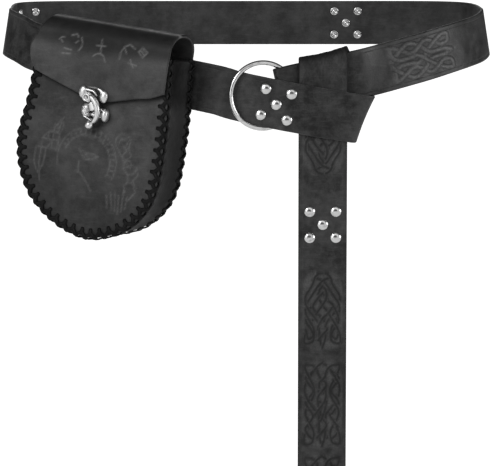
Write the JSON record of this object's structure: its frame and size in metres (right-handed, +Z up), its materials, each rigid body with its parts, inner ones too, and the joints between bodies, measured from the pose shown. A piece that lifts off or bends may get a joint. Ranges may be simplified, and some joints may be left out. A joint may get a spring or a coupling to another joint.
{
  "type": "medieval belt pouch on its ring belt",
  "caption": "Flat leather pouch with a rounded laced body, flap and swing clasp, threaded on a studded ring belt with a knotted hanging tail.",
  "frame": {"origin": "the middle of the waist that the belt goes round, level with the middle of the belt at the back", "axes": "+Z up, the wearer's front towards -Y, +X towards the wearer's left"},
  "size_m": [0.425, 0.3002, 0.4483],
  "materials": {
    "black_leather": "smooth, semi-matte",
    "flap_leather": "smooth, worn semi-matte",
    "lace": "matte",
    "polished_steel": "polished",
    "cast_silver": "cast, polished on its high places"
  },
  "bodies": {
    "pouch_and_belt": {"back_rivet_lower_left": "polished_steel", "back_rivet_lower_right": "polished_steel", "back_rivet_middle": "polished_steel", "back_rivet_upper_left": "polished_steel", "back_rivet_upper_right": "polished_steel", "belt_loop_left": "black_leather", "belt_loop_right": "black_leather", "belt_ring": "polished_steel", "belt_strap": "black_leather", "clasp_catch": "cast_silver", "clasp_plate": "cast_silver", "fixed_rivet_lower_left": "polished_steel", "fixed_rivet_lower_right": "polished_steel", "fixed_rivet_middle": "polished_steel", "fixed_rivet_upper_left": "polished_steel", "fixed_rivet_upper_right": "polished_steel", "lacing_back": "lace", "lacing_front": "lace", "pouch_back_and_flap": "flap_leather", "pouch_front_panel": "black_leather", "pouch_gusset": "black_leather", "ring_rivet_lower_left": "polished_steel", "ring_rivet_lower_right": "polished_steel", "ring_rivet_middle": "polished_steel", "ring_rivet_upper_left": "polished_steel", "ring_rivet_upper_right": "polished_steel", "side_rivet_lower_left": "polished_steel", "side_rivet_lower_right": "polished_steel", "side_rivet_middle": "polished_steel", "side_rivet_upper_left": "polished_steel", "side_rivet_upper_right": "polished_steel", "tail_rivet_lower_left": "polished_steel", "tail_rivet_lower_right": "polished_steel", "tail_rivet_middle": "polished_steel", "tail_rivet_upper_left": "polished_steel", "tail_rivet_upper_right": "polished_steel"},
    "lever": {"clasp_lever": "cast_silver"}
  },
  "joints": [
    {"name": "clasp_lever_turn", "type": "hinge", "parent": "pouch_and_belt", "child": "lever", "pos_m": [-0.12844, -0.15003, -0.05686], "axis": [-0.3746, -0.9272, 0], "range_deg": [0, 100]}
  ]
}
